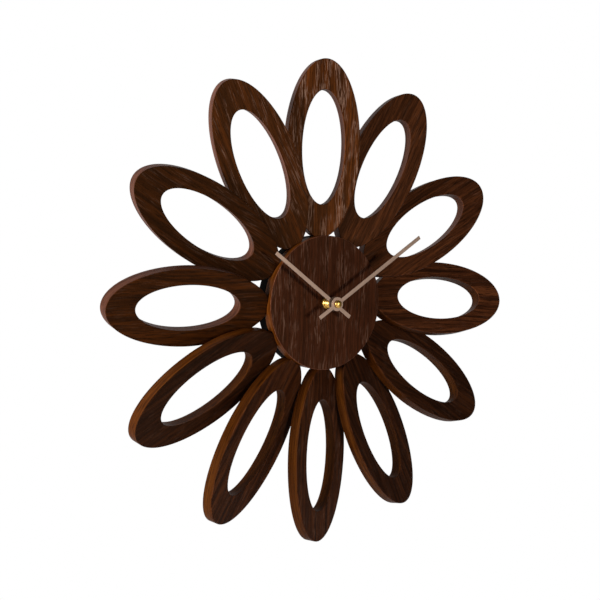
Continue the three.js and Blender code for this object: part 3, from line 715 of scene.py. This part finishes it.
def add_petals():
    """Each petal is coped round the dial, drilled for its dowel and relieved where it laps the next."""
    dial = Extent("dial_disc")
    petals = {hour: Petal(f"petal_{hour:02d}") for hour in HOURS}
    for hour, petal in petals.items():
        behind = petals[hour % len(petals) + 1]
        into_petal = petal.stand.inverted()
        far = petal.half_length
        cope = turned([(dial.radius + DIAL_GAP, depth) for depth in (-far, far)], sides=ROUND_SIDES)
        start, direction, length, radius = dowel_axis(hour)
        socket = rod(start, direction, length + GAP, radius + GAP)
        cutters = [
            moved(petal_slab(behind), into_petal @ behind.stand),
            moved(cope, into_petal @ FACE_ON),
            moved(socket, into_petal @ FACE_ON),
        ]
        solid = carve(petal_ring(petal), *cutters, cut_finish=CUT)
        node = f"petal_{hour:02d}"
        finishes = petal_finishes(hour, petal)
        piece(f"veneered_{node}", solid, "clock_frame", finishes, [node], petal.stand)


def add_dowels():
    """Fluted dowels with chamfered ends, each with its grain along it."""
    chamfer, flutes, flute_depth, sides = 0.6, 12, 0.12, 96
    for hour in HOURS:
        start, direction, length, radius = dowel_axis(hour)
        profile = [(0, chamfer), (chamfer, 0), (length - chamfer, 0), (length, chamfer)]
        loops = []
        for run, inset in profile:
            radii = fluted(radius - inset, flutes, flute_depth, sides)
            loops.append([(run, r * math.cos(t), r * math.sin(t)) for r, t in zip(radii, turns(sides))])
        across = Vector((0, 0, 1)).cross(direction)
        stand = Matrix((direction, across, (0, 0, 1))).transposed().to_4x4()
        stand.translation = start
        node = f"petal_dowel_{hour:02d}"
        finish = [FINISHES["beech"]]
        piece(f"fluted_{node}", loft(loops), "clock_frame", finish, [node], FACE_ON @ stand, 60)


# ---------------------------------------------------------------- dial disc and hub block

GRAIN_UP = Matrix.Rotation(math.radians(90), 4, "Z")
DIAL_EDGE = 0.6
DIAL_SCREWS = [f"dial_screw_{number}" for number in range(1, 5)]
HANGER_SCREWS = ["hanger_screw_left", "hanger_screw_right"]

# A screw's shank as a share of its head, and how far its head tapers.
SHANK_SHARE = 0.52
HEAD_HEIGHT = 1.8


def dowel_grooves():
    grooves = []
    for hour in HOURS:
        start, direction, length, radius = dowel_axis(hour)
        grooves.append(rod(start - direction * GAP, direction, length, radius + GAP))
    return grooves


def screw_hole(node):
    """A countersunk hole, open at the back."""
    screw = Extent(node)
    head, shank = screw.radius + GAP, SHANK_SHARE * screw.radius + GAP
    profile = [(head, screw.back - PAST), (head, screw.back)]
    profile += [(shank, screw.back + HEAD_HEIGHT), (shank, screw.front + GAP)]
    return turned(profile, screw.x, screw.y, 32)


def pilot_hole(node):
    """The hole in the block under a screw that holds the hanger plate."""
    screw = Extent(node)
    shank = SHANK_SHARE * screw.radius + GAP
    return turned([(shank, -PAST), (shank, screw.front + GAP)], screw.x, screw.y, 24)


def add_dial_disc():
    dial = Extent("dial_disc")
    bore = Extent("threaded_bushing").radius + 0.5
    outline = rounded(rectangle(bore, dial.radius, dial.back, dial.front), DIAL_EDGE)
    bm = loft([circle(radius, depth, sides=ROUND_SIDES) for radius, depth in outline], closed=True)
    for face in bm.faces:
        upright = abs(face.normal.z)
        face.material_index = FACE if upright > 0.98 else BAND if upright < 0.15 else ARRIS
    holes = [screw_hole(node) for node in DIAL_SCREWS]
    bm = carve(bm, *dowel_grooves(), *holes, cut_finish=CUT)
    bm.transform(GRAIN_UP.inverted())
    round_edge = along_edge(dial.radius, dial.radius)
    finishes = [
        # The dial face carries some painted light grey sheen in its pores.
        veneer("dial_face", along_face, DIAL_WALNUT, seed=140, sheen_streaks=0.4),
        # Painted highlight: the dial's rounded edge is painted in the greyed edge colours and 1.8 times
        # lighter.
        veneer("dial_arris", along_face, REFLECTION_GREYED_EDGE_WALNUT, seed=140, tone=1.8),
        veneer("dial_edge", round_edge, EDGE_WALNUT, seed=150, tone=0.85, gloss=EDGE_GLOSS),
        FINISHES["black_board"],
    ]
    stand = FACE_ON @ GRAIN_UP
    piece("veneered_dial_disc", bm, "clock_frame", finishes, ["dial_disc"], stand)


def add_hub_block():
    """The block behind the dial, with a square opening for the movement and room for the wall screw."""
    hub, plate = Extent("hub_block"), Extent("hanger_plate")
    side = Extent("movement_case").radius + 0.8
    opening_corner, screw_room, screw_depth = 2.5, 5.5, 4
    bm = loft([circle(hub.radius, depth, sides=ROUND_SIDES) for depth in (hub.back, hub.front)])
    opening = box(-side, side, -side, side, hub.back - 10, hub.front + 10, opening_corner)
    room = turned([(screw_room, -PAST), (screw_room, hub.back + screw_depth)], 0, plate.y, 64)
    bm = eased(carve(bm, opening, room), 0.5)
    holes = [screw_hole(node) for node in DIAL_SCREWS] + [pilot_hole(node) for node in HANGER_SCREWS]
    bm = carve(bm, *dowel_grooves(), *holes)
    piece("painted_hub_block", bm, "clock_frame", [FINISHES["black_board"]], ["hub_block"])


# ---------------------------------------------------------------- fasteners


def wood_screw(node):
    """A countersunk cross-head screw with its thread."""
    screw = Extent(node)
    x, y, back, head = screw.x, screw.y, screw.back, screw.radius
    shank = SHANK_SHARE * head
    core, crest = 0.72 * shank, 0.98 * shank
    profile = [(head - 0.15, back), (head, back + 0.15), (shank, back + HEAD_HEIGHT)]
    pitch, point_length = 0.9, 1.5
    depth = back + HEAD_HEIGHT + 0.6
    while depth + pitch < screw.front - point_length:
        profile += [(core, depth), (crest, depth + 0.4 * pitch), (core, depth + 0.8 * pitch)]
        depth += pitch
    profile.append((0.12 * shank, screw.front))
    arm, wide, deep = 0.62 * head, 0.2 * head, 1.0
    cross = [
        box(x - arm, x + arm, y - wide, y + wide, back - PAST, back + deep),
        box(x - wide, x + wide, y - arm, y + arm, back - PAST, back + deep),
    ]
    return carve(turned(profile, x, y, 32), *cross)


def add_screws():
    steel = [FINISHES["steel"]]
    for node in DIAL_SCREWS + HANGER_SCREWS:
        piece(f"cross_head_{node}", wood_screw(node), "clock_frame", steel, [node])


def add_hanger():
    """A round-ended plate with a keyhole, whose slot runs up from its mouth."""
    plate = Extent("hanger_plate")
    mouth_radius, slot_half_width, slot_top, mouth_drop = 4, 1.9, 4.5, 1.5
    end = (plate.top - plate.bottom) / 2
    reach = plate.radius - end
    outline = []
    for side, start in ((1, -90), (-1, 90)):
        for step in range(25):
            turn = math.radians(start + 180 * step / 24)
            outline.append((side * reach + end * math.cos(turn), plate.y + end * math.sin(turn)))
    back, front, low = plate.back - PAST, plate.front + PAST, plate.y - mouth_drop
    mouth = turned([(mouth_radius, back), (mouth_radius, front)], 0, low, 48)
    slot = box(-slot_half_width, slot_half_width, low, plate.y + slot_top, back, front, 1.5)
    bm = eased(carve(prism(outline, plate.back, plate.front), mouth, slot), 0.18)
    bm = carve(bm, *[screw_hole(node) for node in HANGER_SCREWS])
    piece("keyhole_hanger_plate", bm, "clock_frame", [FINISHES["steel"]], ["hanger_plate"])


def threaded_tube(outer, bore, back, front, pitch=0.75, depth=0.32):
    """A tube with an outside thread, cut as a helix that stops short of its ends."""
    sides, loops_per_pitch, plain_end = 48, 8, 0.3
    steps = int((front - back) / pitch * loops_per_pitch)
    loops = []
    for step in range(steps + 1):
        z = back + (front - back) * step / steps
        threaded = min(z - back, front - z) > plain_end
        loop = []
        for turn in turns(sides):
            share = (z / pitch - turn / FULL_TURN) % 1
            cut = depth * (1 - abs(2 * share - 1)) if threaded else depth
            radius = outer - cut
            loop.append((radius * math.cos(turn), radius * math.sin(turn), z))
        loops.append(loop)
    loops += [circle(bore, front, sides=sides), circle(bore, back, sides=sides)]
    return loft(loops, closed=True)


def rounded_nut(nut, bore):
    """A round nut with a well rounded crown."""
    chamfer, crown_width, crown_height, steps = 0.2, 1.1, 0.55 * nut.height, 8
    profile = [(bore, nut.back + chamfer), (bore + chamfer, nut.back)]
    profile += [(nut.radius - chamfer, nut.back), (nut.radius, nut.back + chamfer)]
    for step in range(steps + 1):
        turn = FULL_TURN / 4 * step / steps
        inset = crown_width * (1 - math.cos(turn))
        profile.append((nut.radius - inset, nut.front - crown_height * (1 - math.sin(turn))))
    profile += [(bore + chamfer, nut.front), (bore, nut.front - chamfer)]
    return loft([circle(radius, depth) for radius, depth in profile], closed=True)


BUSHING_BORE = 2.8


def add_bushing():
    bushing, nut, washer = Extent("threaded_bushing"), Extent("bushing_nut"), Extent("rubber_washer")
    brass, fit = [FINISHES["brass"]], bushing.radius + GAP
    tube = threaded_tube(bushing.radius, BUSHING_BORE, bushing.back, bushing.front)
    piece("threaded_brass_bushing", tube, "clock_frame", brass, ["threaded_bushing"], FACE_ON, 60)
    piece("rounded_bushing_nut", rounded_nut(nut, fit), "clock_frame", brass, ["bushing_nut"])
    ring = turned_ring(rectangle(fit, washer.radius, washer.back, washer.front), 0.3)
    piece("soft_rubber_washer", ring, "clock_frame", [FINISHES["rubber"]], ["rubber_washer"])


# ---------------------------------------------------------------- hands


def add_hand(node, body):
    """A straight bar with a round boss, drawn along x and turned to the hand's own direction."""
    hand = Hand(node)
    height = hand.front - hand.back
    bar = rectangle(-hand.tail, hand.length, -hand.half_width, hand.half_width)
    arms = prism(rounded(bar, 0.35, steps=3), 0, height)
    boss = loft([circle(hand.boss_radius, depth) for depth in (0, height)])
    bore = turned([(hand.bore, -PAST), (hand.bore, height + PAST)])
    bm = eased(carve(combine(arms, [boss], "UNION"), bore), 0.16)
    stand = FACE_ON @ Matrix.Translation((0, 0, hand.back)) @ Matrix.Rotation(hand.angle, 4, "Z")
    piece(f"brushed_{node}", bm, body, [FINISHES["champagne_metal"]], [node], stand)


COLLET_BORE = 2.65
SHAFT_END_RADIUS = 1.65


def add_hand_fittings():
    brass = [FINISHES["brass"]]
    collet = Extent("hour_hand_collet")
    outline = rectangle(COLLET_BORE, collet.radius, collet.back, collet.front)
    ring = turned_ring(outline, 0.25, sides=64)
    piece("turned_hour_hand_collet", ring, "hour_work", brass, ["hour_hand_collet"])

    cap = Extent("minute_hand_nut")
    chamfer, foot, steps, last_turn = 0.25, 1.0, 8, math.radians(84)
    dome = [(cap.radius - chamfer, cap.back), (cap.radius, cap.back + chamfer), (cap.radius, cap.back + foot)]
    for step in range(1, steps + 1):
        turn = last_turn * step / steps
        rise = (cap.height - foot) * math.sin(turn) / math.sin(last_turn)
        dome.append((cap.radius * math.cos(turn), cap.back + foot + rise))
    socket = turned([(SHAFT_END_RADIUS, cap.back - PAST), (SHAFT_END_RADIUS, cap.back + 1.8)], sides=48)
    bm = carve(turned(dome), socket)
    piece("domed_minute_hand_nut", bm, "minute_work", brass, ["minute_hand_nut"])


# ---------------------------------------------------------------- movement case and what shows of it

ARBORS = ["minute_arbor", "third_wheel", "seconds_wheel", "step_wheel", "rotor"]

# How much smaller than the setting knob's flange its grip is, and the hole in the cover.
KNOB_GRIP_INSET = 1.3
KNOB_HOLE_INSET = 1.0


def add_case():
    """A shell open at the back, with one bay for the works above the battery's."""
    case, cover, battery = Extent("movement_case"), Extent("movement_cover"), Extent("battery")
    half = case.radius
    inner = cover.radius + GAP
    wall = half - inner
    bushing_fit = Extent("threaded_bushing").radius + GAP
    back, roof = case.back - 5, case.front - wall
    works_bottom = cover.bottom - GAP
    battery_top = 2 * battery.y + inner
    shell = box(-half, half, -half, half, case.back, case.front, 2.2)
    bays = [
        box(-inner, inner, works_bottom, inner, back, roof, 1.2),
        box(-inner, inner, -inner, battery_top, back, roof, 1.2),
        turned([(bushing_fit, case.back), (bushing_fit, case.front + PAST)], sides=48),
    ]
    bm = eased(carve(shell, *bays), 0.22)
    black = [FINISHES["black_plastic"]]
    piece("moulded_movement_case", bm, "clock_frame", black, ["movement_case"])


def pivot_hole(node, front):
    """The hole that an arbor's rear pivot turns in."""
    corners = face_corners(node)
    foot = corners[corners[:, 2] < corners[:, 2].min() + ON_FACE]
    low, high = foot.min(axis=0), foot.max(axis=0)
    x, y = (low[:2] + high[:2]) / 2
    radius = (high[0] - low[0]) / 2 + GAP
    return turned([(radius, low[2] - GAP), (radius, front + PAST)], x, y, 32)


def add_cover():
    """The movement's rear cover, with a groove round the setting knob and five sounder slots."""
    cover, knob = Extent("movement_cover"), Extent("setting_knob")
    back, front = cover.back - PAST, cover.front + PAST
    hole = knob.radius - KNOB_HOLE_INSET
    knob_hole = turned([(hole, back), (hole, front)], knob.x, knob.y, 64)
    groove = rectangle(knob.radius + 0.8, knob.radius + 2.0, back, cover.back + 0.35)
    slot_left, slot_pitch, slot_width, slot_bottom, slot_top = 8, 3, 1.2, -6, -2
    slots = []
    for step in range(5):
        left = slot_left + slot_pitch * step
        slots.append(box(left, left + slot_width, slot_bottom, slot_top, back, front, 0.5))
    bm = box(cover.left, cover.right, cover.bottom, cover.top, cover.back, cover.front, 1.0)
    bm = eased(carve(bm, knob_hole, turned_ring(groove, 0.1, knob.x, knob.y), *slots), 0.15)
    bm = carve(bm, *[pivot_hole(node, cover.front) for node in ARBORS])
    black = [FINISHES["black_plastic"]]
    piece("moulded_movement_cover", bm, "clock_frame", black, ["movement_cover"])


def add_setting_knob():
    """A knurled knob over a wider flange, with two slots that leave a bar to turn it by."""
    knob = Extent("setting_knob")
    grip = knob.radius - KNOB_GRIP_INSET
    chamfer, knurl_depth, knurls, sides = 0.3, 0.25, 20, 120
    knurl_end, flange_end = knob.back + 1.1, knob.back + 1.9
    loops = []
    for inset, depth in ((chamfer, knob.back), (0, knob.back + chamfer), (0, knurl_end)):
        radii = fluted(grip - inset, knurls, knurl_depth, sides)
        places = zip(radii, turns(sides))
        loops.append([(knob.x + r * math.cos(t), knob.y + r * math.sin(t), depth) for r, t in places])
    shaft = [(knob.radius, knurl_end), (knob.radius, flange_end), (grip, flange_end), (grip, knob.front)]
    loops += [circle(radius, depth, knob.x, knob.y, sides) for radius, depth in shaft]
    half_length, half_width, offset, deep = 3, 1.1, 1.9, 0.5
    slots = []
    for middle in (knob.y - offset, knob.y + offset):
        span = (knob.x - half_length, knob.x + half_length, middle - half_width, middle + half_width)
        slots.append(box(*span, knob.back - PAST, knob.back + deep, 0.6))
    bm = carve(loft(loops), *slots)
    black = [FINISHES["black_plastic"]]
    piece("knurled_setting_knob", bm, "motion_work", black, ["setting_knob"])


def add_battery():
    """An AA cell lying along x, with its button to the right."""
    cell = Extent("battery")
    radius = (cell.top - cell.bottom) / 2
    half, button = cell.radius, 2.7
    shoulder = half - 1.4
    base = [(2.2, -half), (radius - 1.4, -half), (radius - 1.1, -half + 0.25)]
    base += [(radius - 0.75, -half + 0.1), (radius - 0.2, -half + 0.25)]
    wrap = [(radius, -half + 0.7), (radius, shoulder - 14), (radius, shoulder - 0.9)]
    crimp = [(radius - 0.35, shoulder - 0.2), (radius - 1.0, shoulder), (radius - 1.6, shoulder - 0.35)]
    top = [(button + 0.5, shoulder - 0.35), (button, shoulder), (button - 0.05, half - 0.3)]
    top.append((button - 0.35, half))
    end, jacket, band = range(3)
    finishes = [end] * 4 + [jacket] * 2 + [band] + [jacket] * 2 + [end] * 5
    bm = turned(base + wrap + crimp + top, finishes=finishes)
    middle = Matrix.Translation((0, cell.y, (cell.front + cell.back) / 2))
    stand = FACE_ON @ middle @ Matrix.Rotation(math.radians(90), 4, "Y")
    band_paint = plastic("battery_band", srgb(176, 178, 176), 0.3, 3.0, 0.004)
    paints = [FINISHES["steel"], FINISHES["battery_jacket"], band_paint]
    piece("wrapped_battery", bm, "battery_cell", paints, ["battery"], stand)


LEAF_THICKNESS = 0.35


def dimple(height):
    """The bump that the battery's button presses on."""
    rises = [math.radians(10 * step) for step in range(9)]
    return turned([(2.0 * math.cos(rise), height * math.sin(rise)) for rise in rises], sides=32)


def spiral(outer, inner, height, wire, coils=3.5):
    """A conical spring of round wire."""
    steps = 120
    up = Vector((0, 0, 1))
    loops = []
    for step in range(steps + 1):
        share = step / steps
        turn = FULL_TURN * coils * share
        radius = outer + (inner - outer) * share
        out = Vector((math.cos(turn), math.sin(turn), 0))
        middle = radius * out + (wire + (height - 2 * wire) * share) * up
        loops.append([middle + wire * (math.cos(t) * out + math.sin(t) * up) for t in turns(10)])
    return loft(loops)


def add_contacts():
    """A leaf at each end of the battery, with a dimple for its button and a spring for its base."""
    steel = [FINISHES["steel"]]
    for node, side in (("contact_positive", 1), ("contact_negative", -1)):
        contact = Extent(node)
        wall, inside = (contact.right, contact.left) if side > 0 else (contact.left, contact.right)
        face = wall - side * LEAF_THICKNESS
        near, far = sorted((wall, face))
        leaf = eased(box(near, far, contact.bottom, contact.top, contact.back, contact.front), 0.1)
        piece(f"leaf_{node}", leaf, "clock_frame", steel, [node])
        reach = abs(inside - face)
        bm = dimple(reach) if side > 0 else spiral(4.2, 1.6, reach, 0.2)
        place = Matrix.Translation((face, Extent("battery").y, (contact.back + contact.front) / 2))
        stand = FACE_ON @ place @ Matrix.Rotation(math.radians(-90 * side), 4, "Y")
        piece(f"spring_{node}", bm, "clock_frame", steel, [], stand, 60)


# ---------------------------------------------------------------- stage, lights and camera

CAMERA_AIM = Vector((-19.5, -17.5, 2.0)) * MM
CAMERA_AZIMUTH = -35.58
CAMERA_ELEVATION = 3.24
CAMERA_DISTANCE = 1.1447
CAMERA_ROLL = 1.55
CAMERA_LENS = 83.74

# Each light's azimuth and elevation, its size, and its power. Both stand at the same distance.
LIGHT_DISTANCE = 2.2
LEFT_LIGHT = (-79, 4, 0.7, 70)
RIGHT_LIGHT = (11.5, -0.4, 0.34, 21)

# The brightness of the white studio behind the clock and of the dim room in front of it.
BACKDROP_LIGHT = 1.0
ROOM_LIGHT = 0.03

FLOOR_DROP = 0.3
FLOOR_RADIUS = 0.85


def direction(azimuth, elevation):
    """From the clock towards that azimuth and elevation in degrees; azimuth 0 is straight in front."""
    a, e = math.radians(azimuth), math.radians(elevation)
    return Vector((math.sin(a) * math.cos(e), -math.cos(a) * math.cos(e), math.sin(e)))


def add_camera():
    camera = bpy.data.objects.new("camera", bpy.data.cameras.new("camera"))
    bpy.context.scene.collection.objects.link(camera)
    back = direction(CAMERA_AZIMUTH, CAMERA_ELEVATION)
    aimed = (-back).to_track_quat("-Z", "Y").to_matrix().to_4x4()
    roll = Matrix.Rotation(math.radians(CAMERA_ROLL), 4, "Z")
    camera.matrix_world = Matrix.Translation(CAMERA_AIM + back * CAMERA_DISTANCE) @ aimed @ roll
    camera.data.lens = CAMERA_LENS
    camera.data.sensor_width = 36
    bpy.context.scene.camera = camera


def add_softbox(name, azimuth, elevation, size, power):
    light = bpy.data.lights.new(name, "AREA")
    light.shape = "DISK"
    light.size = size
    light.energy = power
    lamp = bpy.data.objects.new(name, light)
    bpy.context.scene.collection.objects.link(lamp)
    away = direction(azimuth, elevation)
    aimed = away.to_track_quat("Z", "Y").to_matrix().to_4x4()
    lamp.matrix_world = Matrix.Translation(away * LIGHT_DISTANCE) @ aimed


def add_world():
    """Light that fades from the studio behind the clock to the room in front, all white to the camera."""
    world = bpy.data.worlds.new("studio")
    world.use_nodes = True
    bpy.context.scene.world = world
    nodes, links = world.node_tree.nodes, world.node_tree.links
    towards = nodes.new("ShaderNodeTexCoord").outputs["Generated"]
    split = nodes.new("ShaderNodeSeparateXYZ")
    links.new(towards, split.inputs[0])
    fade = nodes.new("ShaderNodeMapRange")
    fade.interpolation_type = "SMOOTHSTEP"
    fade.inputs["From Min"].default_value = -0.15
    fade.inputs["From Max"].default_value = 0.35
    fade.inputs["To Min"].default_value = ROOM_LIGHT
    fade.inputs["To Max"].default_value = BACKDROP_LIGHT
    links.new(split.outputs["Y"], fade.inputs["Value"])
    seen = nodes.new("ShaderNodeLightPath").outputs["Is Camera Ray"]
    mix = nodes.new("ShaderNodeMix")
    links.new(seen, mix.inputs["Factor"])
    links.new(fade.outputs["Result"], mix.inputs["A"])
    mix.inputs["B"].default_value = 1.0
    background = nodes["Background"]
    links.new(mix.outputs["Result"], background.inputs["Strength"])
    background.inputs["Color"].default_value = (1, 1, 1, 1)


def add_floor():
    """A pale floor well below the clock."""
    paint = Paint("pale_floor", Roughness=0.9, Specular_IOR_Level=0.0)
    cloud = paint.noise(paint.here(), (300, 300, 300), 2)
    pale = paint.ramp(cloud, (0.3, srgb(240, 240, 240)), (0.7, srgb(246, 246, 246)))
    finish = paint.finish(Base_Color=pale)
    bm = bmesh.new()
    bmesh.ops.create_circle(bm, cap_ends=True, segments=96, radius=FLOOR_RADIUS)
    mesh = bpy.data.meshes.new("floor")
    bm.to_mesh(mesh)
    bm.free()
    mesh.materials.append(finish)
    floor = bpy.data.objects.new("floor", mesh)
    bpy.context.scene.collection.objects.link(floor)
    floor.location.z = cad_box[0].z - FLOOR_DROP


paint_cad_nodes()
add_petals()
add_dowels()
add_dial_disc()
add_hub_block()
add_screws()
add_hanger()
add_bushing()
add_hand("hour_hand", "hour_work")
add_hand("minute_hand", "minute_work")
add_hand_fittings()
add_case()
add_cover()
add_setting_knob()
add_battery()
add_contacts()
add_camera()
add_softbox("left", *LEFT_LIGHT)
add_softbox("right", *RIGHT_LIGHT)
add_world()
add_floor()
bpy.context.scene.view_settings.view_transform = "Standard"
